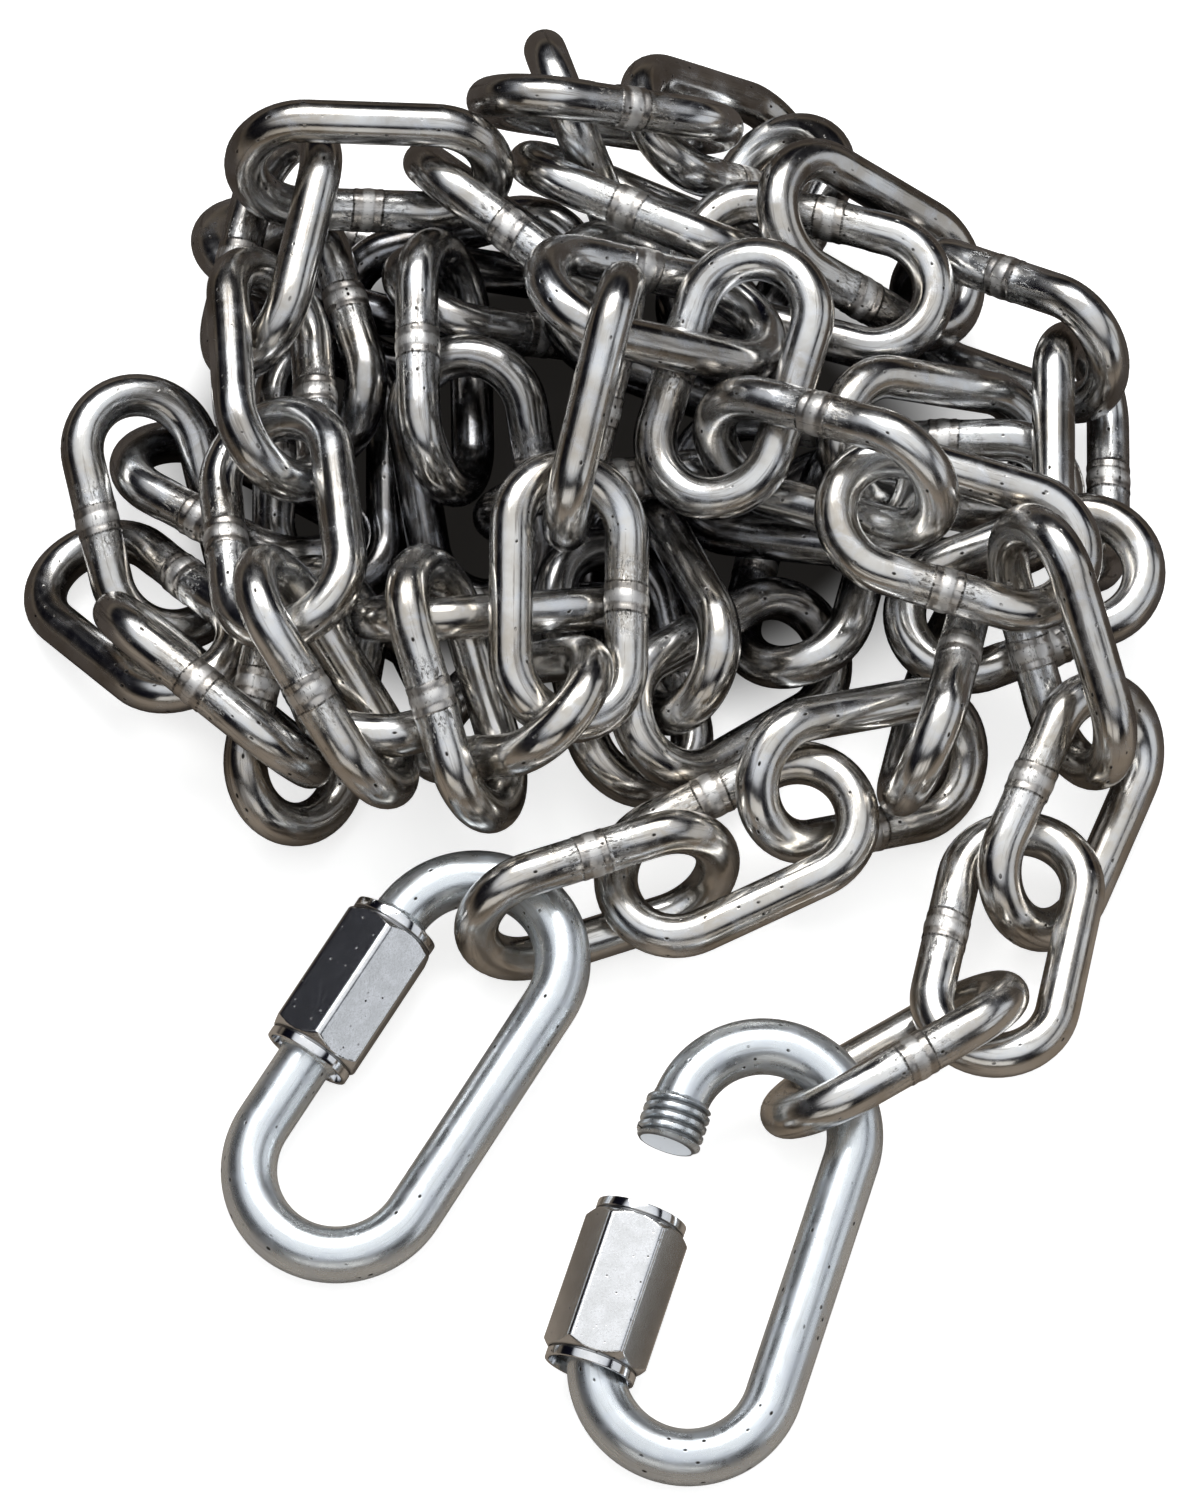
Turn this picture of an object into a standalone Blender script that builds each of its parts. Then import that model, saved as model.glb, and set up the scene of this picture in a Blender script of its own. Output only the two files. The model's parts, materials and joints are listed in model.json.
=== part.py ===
"""A heap of welded steel chain: one strand that lies in a pile, with a screw quick link on each end.

The quick link on the left is closed and the one on the right is open. Lengths are in millimetres
up to the last step, which writes metres. X runs to the right, Y to the back and Z up, and the
origin is on the floor under the middle of the heap's box.
"""
import math

import bpy
import numpy as np
from mathutils import Matrix, Vector

MM = 0.001

# Chain link: round wire bent to two half-round crowns and two straight bars
WIRE = 5.5
LINK_LENGTH = 37.0
LINK_WIDTH = 21.0
WELD_HALF_WIDTH = 1.9
WELD_SWELL = 1.05

# Quick link: a longer ring of thicker wire, open on one bar, with a threaded stud at each side
QUICK_WIRE = 6.9
QUICK_LENGTH = 59.5
QUICK_WIDTH = 28.8
STUD_RADIUS = 4.0
UPPER_STUD_END = 10.0
LOWER_STUD_END = 0.0
LOWER_STUD_LENGTH = 5.6
STUD_SHOULDER = 0.4

# Hexagonal sleeve that screws along the studs
SLEEVE_LENGTH = 20.6
SLEEVE_ACROSS_FLATS = 11.4
BORE_RADIUS = 4.4
MOUTH_RADIUS = 5.1
MOUTH_DEPTH = 3.4
COLLAR_RADIUS = 5.55
COLLAR_LENGTH = 1.2
CHAMFER_LENGTH = 1.0
COLLAR_STEP = 0.1

# How finely the solids are cut
CROWN_STEPS = 5
QUICK_CROWN_STEPS = 9
LINK_BEVEL = 2
QUICK_BEVEL = 3
SLEEVE_SIDES = 24
ROUND_UP = 1.04

# Room that two touching pieces keep between them
GAP = 0.35

# Where each quick link lies: its middle, the heading of its long axis towards the chain, how far
# that end is lifted, and how far the bar with the sleeve is lifted
QUICK_LINKS = {
    "closed": {"middle": (-23.5, -42.8, 7.2), "heading": 57.5, "lift": 7.8, "lean": 1.0},
    "open": {"middle": (15.4, -67.3, 7.3), "heading": 71.5, "lift": 7.2, "lean": 6.0},
}
SLEEVE_MIDDLE = {"closed": 4.5, "open": -9.4}
SLEEVE_TURN = {"closed": 9.0, "open": 27.0}

# The strand from the closed quick link to the open one. A line is one link: the tips of its two
# crowns on the wire's centre, the roll that lifts the bar on its left, and the side of its weld.
# They are whole millimetres and steps of five degrees. They began as places read by eye, and search
# programs then shifted, raised and rolled them until the strand threads, so they aren't readings.
STRAND = [
    ((-15, -28, 11), (15, -19, 17), 75, 1),
    ((5, -25, 15), (32, -11, 24), 5, 1),
    ((21, -16, 26), (44, -1, 13), 45, -1),
    ((35, -11, 22), (47, 16, 9), 100, 1),
    ((39, 11, 12), (66, 24, 14), 10, -1),
    ((63, 23, 12), (58, 55, 20), 50, -1),
    ((65, 46, 25), (40, 64, 14), -70, -1),
    ((50, 60, 16), (19, 69, 26), 0, 1),
    ((42, 57, 25), (11, 62, 18), -5, -1),
    ((18, 66, 17), (-9, 79, 21), 45, 1),
    ((-1, 80, 5), (-5, 80, 35), 10, -1),
    ((-15, 79, 36), (14, 77, 25), -60, -1),
    ((6, 77, 28), (26, 89, 7), 10, -1),
    ((28, 86, 17), (13, 62, 5), 25, 1),
    ((22, 62, 2), (-3, 60, 21), -15, -1),
    ((5, 58, 19), (-22, 75, 24), 50, 1),
    ((-15, 70, 26), (-45, 74, 31), -85, 1),
    ((-38, 79, 25), (-45, 48, 21), 60, -1),
    ((-40, 59, 22), (-41, 29, 30), 130, -1),
    ((-42, 37, 29), (-36, 4, 30), 25, -1),
    ((-40, 10, 36), (-25, -8, 20), -50, -1),
    ((-25, -9, 25), (-34, 21, 4), 15, 1),
    ((-37, 18, 17), (-38, -8, 7), -45, -1),
    ((-35, -3, 12), (-61, 14, 18), 60, 1),
    ((-45, 7, 13), (-69, 28, 5), 0, -1),
    ((-53, 18, 5), (-59, 48, 13), 20, 1),
    ((-59, 43, 8), (-32, 25, 8), -25, -1),
    ((-35, 24, 5), (-32, 55, 7), 15, 1),
    ((-33, 44, 9), (-42, 73, 8), -50, -1),
    ((-48, 72, 9), (-16, 69, 3), -20, 1),
    ((-30, 67, 4), (0, 64, 9), 25, -1),
    ((4, 67, 6), (-26, 57, 19), 25, 1),
    ((-27, 64, 20), (-20, 34, 18), -25, -1),
    ((-18, 46, 27), (-12, 26, 4), 30, 1),
    ((-13, 27, 15), (15, 36, 8), -60, -1),
    ((11, 35, 10), (40, 31, 19), 0, 1),
    ((30, 36, 20), (59, 39, 8), 30, -1),
    ((61, 35, 10), (30, 35, 6), 140, 1),
    ((32, 44, 4), (25, 11, 8), 15, -1),
    ((30, 18, 5), (5, -1, 14), -30, -1),
    ((10, 4, 14), (3, 30, 7), 130, -1),
    ((3, 27, 10), (0, -1, 7), -35, 1),
    ((-2, 20, 10), (-25, 12, 23), 55, -1),
    ((-20, 15, 29), (-14, -13, 17), -60, -1),
    ((-17, 4, 9), (-3, -7, 36), 10, -1),
    ((-6, -6, 25), (-3, 26, 32), 15, -1),
    ((-4, 19, 28), (2, 48, 41), 90, -1),
    ((-6, 48, 42), (20, 51, 24), -5, 1),
    ((19, 58, 32), (16, 27, 23), 5, -1),
    ((14, 38, 23), (40, 23, 32), 70, 1),
    ((30, 23, 29), (60, 15, 29), 10, -1),
    ((52, 19, 32), (62, -7, 17), 75, -1),
    ((65, 2, 18), (52, -26, 11), -35, -1),
    ((56, -14, 12), (45, -44, 13), 5, -1),
    ((51, -39, 16), (23, -50, 7), 45, 1),
]

# How the heap is settled: the wire starts thin and grows while links that touch push each other
# off. All sink slowly along the line of sight, because a photograph tells least about depth, and
# a pull across that line holds each link to the place read for it. Both fade out, and the last
# steps only push.
SIGHT = (0.0, math.cos(math.radians(63)), -math.sin(math.radians(63)))
SETTLE_STEPS = 2400
FADE_STEPS = 600
GROW_STEPS = 150
FIRST_SIZE = 0.35
PULL = 0.10
TURN_PULL = 0.03
SINK = 0.08
SHARE = 0.5
PUSHES_PER_SHARE = 0.12
LARGEST_MOVE = 1.0
LARGEST_TURN = 0.1
REGROUP_EVERY = 8
FLOOR_GAP = 0.14
SLACK = 0.08


def ring_points(length, width, wire, crown_steps):
    """Centre line of a link: two half circles of radius (width - wire) / 2 joined by straight bars.

    The crowns' points lie a little outside the circle, so that the chords straddle it.
    """
    radius = (width - wire) / 2
    arm = (length - width) / 2
    spread = 2 / (1 + math.cos(math.pi / crown_steps / 2))
    turn = np.linspace(-math.pi / 2, math.pi / 2, crown_steps + 1)
    crown = np.stack([arm + radius * spread * np.cos(turn), radius * np.sin(turn)], axis=1)
    crown[1:-1, 1] *= spread
    ring = np.concatenate([crown, -crown])
    return np.concatenate([ring, np.zeros((len(ring), 1))], axis=1)


def link_pose(near_tip, far_tip, roll):
    """Middle and turn of a link whose crown tips lie near two points.

    With no roll the eye faces up as far as the run allows. The roll lifts the bar on the left.
    """
    near_tip = Vector(near_tip)
    far_tip = Vector(far_tip)
    along = (far_tip - near_tip).normalized()
    level = Vector((0, 0, 1)).cross(along).normalized()
    rise = along.cross(level)
    angle = math.radians(roll)
    across = math.cos(angle) * level + math.sin(angle) * rise
    turn = Matrix((along, across, along.cross(across))).transposed().to_quaternion()
    return (near_tip + far_tip) / 2, turn


def quick_pose(place):
    """Middle and turn of a quick link: heading about Z, then the lift of its end and the lean."""
    turn = Matrix.Rotation(math.radians(place["heading"]), 3, "Z")
    turn = turn @ Matrix.Rotation(-math.radians(place["lift"]), 3, "Y")
    turn = turn @ Matrix.Rotation(math.radians(place["lean"]), 3, "X")
    return Vector(place["middle"]), turn.to_quaternion()


def turned(quats, points):
    """Points (n, m, 3) turned by unit quaternions (n, 4): v + 2 w (u x v) + 2 u x (u x v)."""
    scalar = quats[:, None, :1]
    vector = np.broadcast_to(quats[:, None, 1:], points.shape)
    side = np.cross(vector, points)
    return points + 2 * scalar * side + 2 * np.cross(vector, side)


def spun(quats, turns):
    """Quaternions after one small rotation vector each."""
    scalar = -0.5 * (turns * quats[:, 1:]).sum(axis=1)
    vector = 0.5 * (quats[:, :1] * turns + np.cross(turns, quats[:, 1:]))
    quats = quats + np.concatenate([scalar[:, None], vector], axis=1)
    return quats / np.linalg.norm(quats, axis=1)[:, None]


def nearest_points(rings, pairs):
    """Nearest points of every two straight segments of each pair of closed rings.

    Each point lies at a share of its segment. The shares solve the two right-angle conditions and
    are held between 0 and 1.
    """
    starts = rings
    runs = np.roll(rings, -1, axis=1) - rings
    one = starts[pairs[:, 0]][:, :, None]
    run_one = runs[pairs[:, 0]][:, :, None]
    two = starts[pairs[:, 1]][:, None]
    run_two = runs[pairs[:, 1]][:, None]
    apart = one - two
    one_one = (run_one * run_one).sum(-1)
    two_two = (run_two * run_two).sum(-1)
    one_two = (run_one * run_two).sum(-1)
    one_apart = (run_one * apart).sum(-1)
    two_apart = (run_two * apart).sum(-1)
    area = np.maximum(one_one * two_two - one_two * one_two, 1e-9)
    share_one = np.clip((one_two * two_apart - one_apart * two_two) / area, 0, 1)
    share_two = np.clip((one_two * share_one + two_apart) / two_two, 0, 1)
    share_one = np.clip((one_two * share_two - one_apart) / one_one, 0, 1)
    on_one = one + share_one[..., None] * run_one
    on_two = two + share_two[..., None] * run_two
    return on_one, on_two


def settled(rings, radii, middles, quats, fixed):
    """Rigid rings pushed off each other and the floor until they only touch."""
    count = len(rings)
    first_middles = middles.copy()
    first_quats = quats.copy()
    reach = np.linalg.norm(rings, axis=2).max(axis=1) + radii
    all_pairs = np.array([
        (i, j) for i in range(count) for j in range(i + 1, count) if not (fixed[i] and fixed[j])
    ])
    inertia = (rings ** 2).sum(axis=2).mean(axis=1)[:, None]
    free = np.where(fixed, 0.0, 1.0)[:, None]
    sight = np.array(SIGHT)
    for step in range(SETTLE_STEPS):
        size = min(1.0, FIRST_SIZE + (1 - FIRST_SIZE) * step / GROW_STEPS)
        fade = max(0.0, 1 - step / FADE_STEPS)
        if step % REGROUP_EVERY == 0:
            spans = np.linalg.norm(middles[all_pairs[:, 0]] - middles[all_pairs[:, 1]], axis=1)
            pairs = all_pairs[spans < reach[all_pairs].sum(axis=1) + 2 * LARGEST_MOVE]
        places = middles[:, None] + turned(quats, rings)
        on_one, on_two = nearest_points(places, pairs)
        offset = on_one - on_two
        distance = np.linalg.norm(offset, axis=3)
        depth = size * (radii[pairs].sum(axis=1)[:, None, None] + GAP) - distance
        hit = depth > 0
        which = np.nonzero(hit)[0]
        push = offset[hit] * (depth[hit] / np.maximum(distance[hit], 1e-6))[:, None]
        move = np.zeros((count, 3))
        turn = np.zeros((count, 3))
        pushes = np.ones((count, 1))
        for side, sign, points in ((0, 1, on_one), (1, -1, on_two)):
            who = pairs[which, side]
            np.add.at(move, who, sign * push)
            np.add.at(turn, who, np.cross(points[hit] - middles[who], sign * push))
            np.add.at(pushes, who, PUSHES_PER_SHARE)
        lift = np.zeros_like(places)
        lift[:, :, 2] = np.maximum(radii[:, None] * size + FLOOR_GAP - places[:, :, 2], 0)
        move += lift.sum(axis=1)
        turn += np.cross(places - middles[:, None], lift).sum(axis=1)
        pushes += PUSHES_PER_SHARE * (lift[:, :, 2] > 0).sum(axis=1)[:, None]
        move *= SHARE / pushes
        turn *= SHARE / pushes / inertia
        move *= np.minimum(1, LARGEST_MOVE / np.maximum(np.linalg.norm(move, axis=1), 1e-9))[:, None]
        turn *= np.minimum(1, LARGEST_TURN / np.maximum(np.linalg.norm(turn, axis=1), 1e-9))[:, None]
        home = first_quats * np.sign((quats * first_quats).sum(axis=1))[:, None]
        back = quats[:, :1] * home[:, 1:] - home[:, :1] * quats[:, 1:]
        back = 2 * (back - np.cross(home[:, 1:], quats[:, 1:]))
        home_way = first_middles - middles
        home_way -= (home_way @ sight)[:, None] * sight
        move += fade * (PULL * home_way + SINK * sight)
        turn += fade * TURN_PULL * back
        middles = np.round(middles + free * move, 6)
        quats = np.round(spun(quats, free * turn), 8)
        if fade == 0 and max(depth.max(), lift.max()) < SLACK:
            break
    return middles, quats


def remove_scene_objects():
    for item in list(bpy.data.objects):
        bpy.data.objects.remove(item, do_unlink=True)


def zinc(name, colour, roughness):
    """Bright zinc plating on steel."""
    material = bpy.data.materials.new(name)
    material.use_nodes = True
    shader = material.node_tree.nodes["Principled BSDF"]
    shader.inputs["Base Color"].default_value = (*colour, 1.0)
    shader.inputs["Metallic"].default_value = 1.0
    shader.inputs["Roughness"].default_value = roughness
    return material


def wire_curve(name, points, radii, wire, closed, bevel):
    """A round wire along straight segments, with one thickness for each point."""
    curve = bpy.data.curves.new(name, "CURVE")
    curve.dimensions = "3D"
    curve.bevel_depth = wire / 2 * ROUND_UP * MM
    curve.bevel_resolution = bevel
    curve.use_fill_caps = not closed
    spline = curve.splines.new("POLY")
    spline.points.add(len(points) - 1)
    spline.use_cyclic_u = closed
    for slot, point, radius in zip(spline.points, points, radii):
        slot.co = (*(np.array(point) * MM), 1.0)
        slot.radius = radius
    return curve


def link_curve(weld_side):
    """One chain link with its weld, a slight swelling in the middle of one bar."""
    ring = ring_points(LINK_LENGTH, LINK_WIDTH, WIRE, CROWN_STEPS)
    bar = (LINK_WIDTH - WIRE) / 2
    points = [tuple(point) for point in ring[:CROWN_STEPS + 1]]
    radii = [1.0] * len(points)
    for x in (WELD_HALF_WIDTH, -WELD_HALF_WIDTH):
        points.append((x, bar, 0.0))
        radii.append(WELD_SWELL)
    points += [tuple(point) for point in ring[CROWN_STEPS + 1:]]
    radii += [1.0] * (CROWN_STEPS + 1)
    points = [(x, weld_side * y, z) for x, y, z in points]
    return wire_curve("chain_link", points, radii, WIRE, True, LINK_BEVEL)


def quick_link_curve():
    """Quick link body: studs at both sides of the opening, joined round the far bar.

    The upper stud runs to where the crown begins and tapers down to the wire along its first step.
    """
    ring = ring_points(QUICK_LENGTH, QUICK_WIDTH, QUICK_WIRE, QUICK_CROWN_STEPS)
    bar = (QUICK_WIDTH - QUICK_WIRE) / 2
    stud = STUD_RADIUS / (QUICK_WIRE / 2) / ROUND_UP
    lower_start = LOWER_STUD_END - LOWER_STUD_LENGTH
    points = [(LOWER_STUD_END, bar, 0.0), (lower_start, bar, 0.0)]
    points.append((lower_start - STUD_SHOULDER, bar, 0.0))
    radii = [stud, stud, 1.0]
    left_crown = ring[QUICK_CROWN_STEPS + 1:]
    right_crown = ring[:QUICK_CROWN_STEPS + 1]
    for crown in (left_crown, right_crown):
        points += [tuple(point) for point in crown]
        radii += [1.0] * len(crown)
    radii[-1] = stud
    points.append((UPPER_STUD_END, bar, 0.0))
    radii.append(stud)
    return wire_curve("quick_link", points, radii, QUICK_WIRE, False, QUICK_BEVEL)


def sleeve_radius(angle, limit):
    """Distance from the axis to a hexagon's side at an angle, no more than a round limit."""
    sector = math.pi / 3
    from_middle = (angle + sector / 2) % sector - sector / 2
    return min(SLEEVE_ACROSS_FLATS / 2 / math.cos(from_middle), limit)


def sleeve_mesh():
    """Hexagonal sleeve along X with turned collars, chamfered corners and a through bore."""
    corner = SLEEVE_ACROSS_FLATS / math.sqrt(3)
    flat = SLEEVE_ACROSS_FLATS / 2
    half = SLEEVE_LENGTH / 2
    shoulder = half - COLLAR_LENGTH
    outer = [
        (half, COLLAR_RADIUS),
        (shoulder, COLLAR_RADIUS),
        (shoulder - COLLAR_STEP, flat),
        (shoulder - CHAMFER_LENGTH, corner),
    ]
    outer += [(-x, limit) for x, limit in reversed(outer)]
    angles = [2 * math.pi * k / SLEEVE_SIDES for k in range(SLEEVE_SIDES)]
    rows = [[(x, sleeve_radius(angle, limit)) for angle in angles] for x, limit in outer]
    for x, radius in ((-half, MOUTH_RADIUS), (MOUTH_DEPTH - half, BORE_RADIUS),
                      (half - MOUTH_DEPTH, BORE_RADIUS), (half, MOUTH_RADIUS)):
        rows.append([(x, radius)] * SLEEVE_SIDES)
    vertices = []
    for row in rows:
        vertices += [
            (x * MM, radius * math.cos(angle) * MM, radius * math.sin(angle) * MM)
            for (x, radius), angle in zip(row, angles)
        ]
    faces = []
    for row in range(len(rows)):
        upper = row * SLEEVE_SIDES
        lower = (row + 1) % len(rows) * SLEEVE_SIDES
        for k in range(SLEEVE_SIDES):
            after = (k + 1) % SLEEVE_SIDES
            faces.append((upper + k, lower + k, lower + after, upper + after))
    mesh = bpy.data.meshes.new("sleeve")
    mesh.from_pydata(vertices, [], faces)
    mesh.validate()
    mesh.update()
    return mesh


def placed(name, data, material, middle, turn):
    """An object of its own at a place in the heap."""
    item = bpy.data.objects.new(name, data)
    if not data.materials:
        data.materials.append(material)
    item.rotation_mode = "QUATERNION"
    item.rotation_quaternion = turn
    item.location = middle * MM
    bpy.context.scene.collection.objects.link(item)
    return item


def box_middle(rings, radii, middles, quats):
    """Point on the floor under the middle of the box that the wires fill."""
    places = middles[:, None] + turned(quats, rings)
    low = (places - radii[:, None, None]).min(axis=(0, 1))
    high = (places + radii[:, None, None]).max(axis=(0, 1))
    return Vector(((low[0] + high[0]) / 2, (low[1] + high[1]) / 2, 0.0))


def build_heap():
    remove_scene_objects()
    link_ring = ring_points(LINK_LENGTH, LINK_WIDTH, WIRE, CROWN_STEPS)
    quick_ring = ring_points(QUICK_LENGTH, QUICK_WIDTH, QUICK_WIRE, CROWN_STEPS)
    bar = (QUICK_WIDTH - QUICK_WIRE) / 2
    sleeve_corner = SLEEVE_ACROSS_FLATS / math.sqrt(3)
    rings, radii, middles, quats, fixed = [], [], [], [], []
    for near_tip, far_tip, roll, weld_side in STRAND:
        middle, turn = link_pose(near_tip, far_tip, roll)
        rings.append(link_ring)
        radii.append(WIRE / 2 * ROUND_UP)
        middles.append(middle)
        quats.append(turn)
        fixed.append(False)
    for kind, place in QUICK_LINKS.items():
        middle, turn = quick_pose(place)
        axis = np.zeros_like(link_ring)
        reach = SLEEVE_LENGTH / 2 - sleeve_corner
        around = np.linspace(0, 2 * math.pi, len(axis), endpoint=False)
        axis[:, 0] = SLEEVE_MIDDLE[kind] + reach * np.cos(around)
        axis[:, 1] = bar
        for ring, radius in ((quick_ring, QUICK_WIRE / 2 * ROUND_UP), (axis, sleeve_corner)):
            rings.append(ring)
            radii.append(radius)
            middles.append(middle)
            quats.append(turn)
            fixed.append(True)
    rings, radii, middles = np.array(rings), np.array(radii), np.array(middles)
    middles, quats = settled(rings, radii, middles, np.array(quats), np.array(fixed))
    origin = box_middle(rings, radii, middles, quats)
    chain_zinc = zinc("chain_zinc", (0.72, 0.71, 0.69), 0.22)
    link_data = {side: link_curve(side) for side in (1, -1)}
    for number, (row, middle, turn) in enumerate(zip(STRAND, middles, quats), start=1):
        placed(f"link_{number:02d}", link_data[row[3]], chain_zinc, Vector(middle) - origin, turn)
    quick_zinc = zinc("quick_link_zinc", (0.78, 0.78, 0.78), 0.25)
    sleeve_zinc = zinc("sleeve_zinc", (0.8, 0.8, 0.8), 0.15)
    quick_data = quick_link_curve()
    sleeve_data = sleeve_mesh()
    for kind, place in QUICK_LINKS.items():
        middle, turn = quick_pose(place)
        middle -= origin
        placed(f"quick_link_{kind}", quick_data, quick_zinc, middle, turn)
        seat = middle + turn @ Vector((SLEEVE_MIDDLE[kind], bar, 0.0))
        sleeve_turn = turn @ Matrix.Rotation(math.radians(SLEEVE_TURN[kind]), 3, "X").to_quaternion()
        placed(f"sleeve_{kind}", sleeve_data, sleeve_zinc, seat, sleeve_turn)


build_heap()
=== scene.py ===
"""Looks of a heap of zinc-plated steel chain with a screw quick link on each end.

Each chain link, quick link and sleeve is a surface worked out on a grid and laid where its solid
lies. Lengths are in millimetres until grid_mesh, which writes metres.
"""
import json
import math

import bpy
import numpy as np
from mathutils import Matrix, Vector

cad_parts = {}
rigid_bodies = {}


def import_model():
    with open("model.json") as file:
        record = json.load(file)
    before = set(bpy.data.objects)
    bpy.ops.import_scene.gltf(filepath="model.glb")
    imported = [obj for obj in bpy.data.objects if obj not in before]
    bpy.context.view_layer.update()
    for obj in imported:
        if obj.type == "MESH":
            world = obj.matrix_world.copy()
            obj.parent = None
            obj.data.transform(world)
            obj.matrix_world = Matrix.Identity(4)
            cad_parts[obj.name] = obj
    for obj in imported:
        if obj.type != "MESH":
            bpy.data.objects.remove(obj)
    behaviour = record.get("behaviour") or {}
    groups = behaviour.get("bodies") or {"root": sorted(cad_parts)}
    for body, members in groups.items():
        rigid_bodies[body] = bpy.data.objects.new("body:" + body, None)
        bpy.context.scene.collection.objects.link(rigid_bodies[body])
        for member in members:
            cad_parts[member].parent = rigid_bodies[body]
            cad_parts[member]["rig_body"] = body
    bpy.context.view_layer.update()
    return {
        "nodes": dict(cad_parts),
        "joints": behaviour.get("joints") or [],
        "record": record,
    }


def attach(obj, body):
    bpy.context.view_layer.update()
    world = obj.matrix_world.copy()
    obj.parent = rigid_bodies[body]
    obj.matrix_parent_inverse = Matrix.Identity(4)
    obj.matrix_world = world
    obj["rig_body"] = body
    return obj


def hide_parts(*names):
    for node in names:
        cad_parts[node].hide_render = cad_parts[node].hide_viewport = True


MM = 0.001
TURN = 2 * math.pi

# Chain link
WIRE_RADIUS = 2.75
LINK_LENGTH = 37.0
LINK_WIDTH = 21.0
LINK_RADIUS = LINK_WIDTH / 2 - WIRE_RADIUS
LINK_HALF_BAR = (LINK_LENGTH - LINK_WIDTH) / 2
LINK_COLUMNS = 28
LINK_SHARP_ANGLE = 50

# Weld in the middle of one bar: a raised band between the marks of the clamping jaws
BAND_HALF_WIDTH = 1.9
BAND_HEIGHT = 0.09
BAND_EDGE = 0.16
BAND_WAVER = 0.12
LARGEST_SKEW = 0.35
RIDGE_HEIGHT = 0.05
RIDGE_WIDTH = 0.45
RIDGE_WAVER = 0.6
TROUGH_PLACE = 1.0
TROUGH_WIDTH = 0.3
TROUGH_DEPTH = 0.05
JAW_MARK_LENGTH = 4.0
JAW_MARK_DEPTH = 0.09
JAW_MARK_START = 0.4
JAW_MARK_FADE = 1.0
JAW_REACH = (0.8, 0.97)

# Slow swells of a wire: their height, and how many waves each has along the wire and round it
SWELL = 0.012
SWELL_WAVES = ((1, 1), (2, 0), (3, 2), (5, 1), (8, 2), (13, 3))

# Rows of a link along its welded bar: from, to and how many, then those of its bend and far bar
BAND_START = BAND_HALF_WIDTH - 2 * BAND_EDGE
BAND_END = BAND_HALF_WIDTH + 2 * BAND_EDGE
BAR_ROWS = (
    (0, TROUGH_PLACE, 8),
    (TROUGH_PLACE, BAND_START, 4),
    (BAND_START, BAND_END, 9),
    (BAND_END, LINK_HALF_BAR, 9),
)
BEND_ROWS = 27
FAR_BAR_ROWS = 6

# Quick link
QUICK_RADIUS = 3.45
QUICK_LENGTH = 59.5
QUICK_WIDTH = 28.8
QUICK_BEND = QUICK_WIDTH / 2 - QUICK_RADIUS
QUICK_HALF_BAR = (QUICK_LENGTH - QUICK_WIDTH) / 2
QUICK_COLUMNS = 48
QUICK_ROWS = 160
QUICK_SHARP_ANGLE = 40

# Studs at the opening of a quick link. The thread's flank is how steep its sides are, and its groove
# divided by its flank is the share of the pitch that is flat at the root
UPPER_STUD_END = 10.0
LOWER_STUD_END = 0.0
STUD_LENGTH = 6.2
STUD_ROWS = 75
STUD_CHAMFER = 0.6
THREAD_CREST = 4.1
THREAD_ROOT = 3.45
THREAD_PITCH = 1.25
THREAD_FLANK = 3.2
THREAD_GROOVE = 0.8
THREAD_RUN_OUT = 1.1
THREAD_MARGIN = 0.6
END_FACE = -1.0
END_FACE_SHARE = 0.92

# How far the pattern of one wire may be shifted, and the seed of the first quick link
PATTERN_SHIFT = 400
QUICK_SEED = 100

# Hexagonal sleeve. A collar's edge is rounded by steps in from its end and in from its radius
SLEEVE_LENGTH = 20.6
ACROSS_FLATS = 11.4
CORNER_RADIUS = 6.45
COLLAR_RADIUS = 5.6
COLLAR_LENGTH = 1.2
COLLAR_EDGE = ((0.0, 0.12), (0.05, 0.03), (0.14, 0.0))
COLLAR_FOOT_EDGE = (0.12, 0.1)
END_EDGE = 0.1
MOUTH_EDGE = 0.05
GROOVE_RADIUS = 5.35
GROOVE_WIDTH = 0.2
CHAMFER_START = GROOVE_RADIUS + 0.2
CHAMFER_SLOPE = 1.0
CHAMFER_LENGTH = 1.6
CHAMFER_ROWS = 17
FLAT_START = 1.9
FLAT_ROWS = 15
BORE_RADIUS = 4.4
MOUTH_RADIUS = 5.1
MOUTH_DEPTH = 3.4
SLEEVE_COLUMNS = 144
SLEEVE_SHARP_ANGLE = 25

# Zinc of the chain, the quick links and the sleeves: its tones, the share of it that shines as
# metal, and the strength and depth in metres of its relief
CHAIN_DULL = (0.56, 0.52, 0.46, 1.0)
CHAIN_BRIGHT = (0.91, 0.92, 0.92, 1.0)
QUICK_DULL = (0.76, 0.80, 0.83, 1.0)
QUICK_BRIGHT = (0.90, 0.95, 0.98, 1.0)
QUICK_METAL = 0.92
WIRE_RELIEF = (0.35, 0.00006)
SLEEVE_DULL = (0.84, 0.85, 0.86, 1.0)
SLEEVE_BRIGHT = (0.95, 0.96, 0.98, 1.0)
SLEEVE_GRAIN = (0.62, 0.62, 0.62, 1.0)
# Black of the sleeve's specks, and of the painted shade in the groove by each collar
SLEEVE_PIT_AND_GROOVE_SHADE = (0.04, 0.035, 0.03, 1.0)
SLEEVE_METAL = 1.0
SLEEVE_RELIEF = (0.3, 0.00005)
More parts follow.
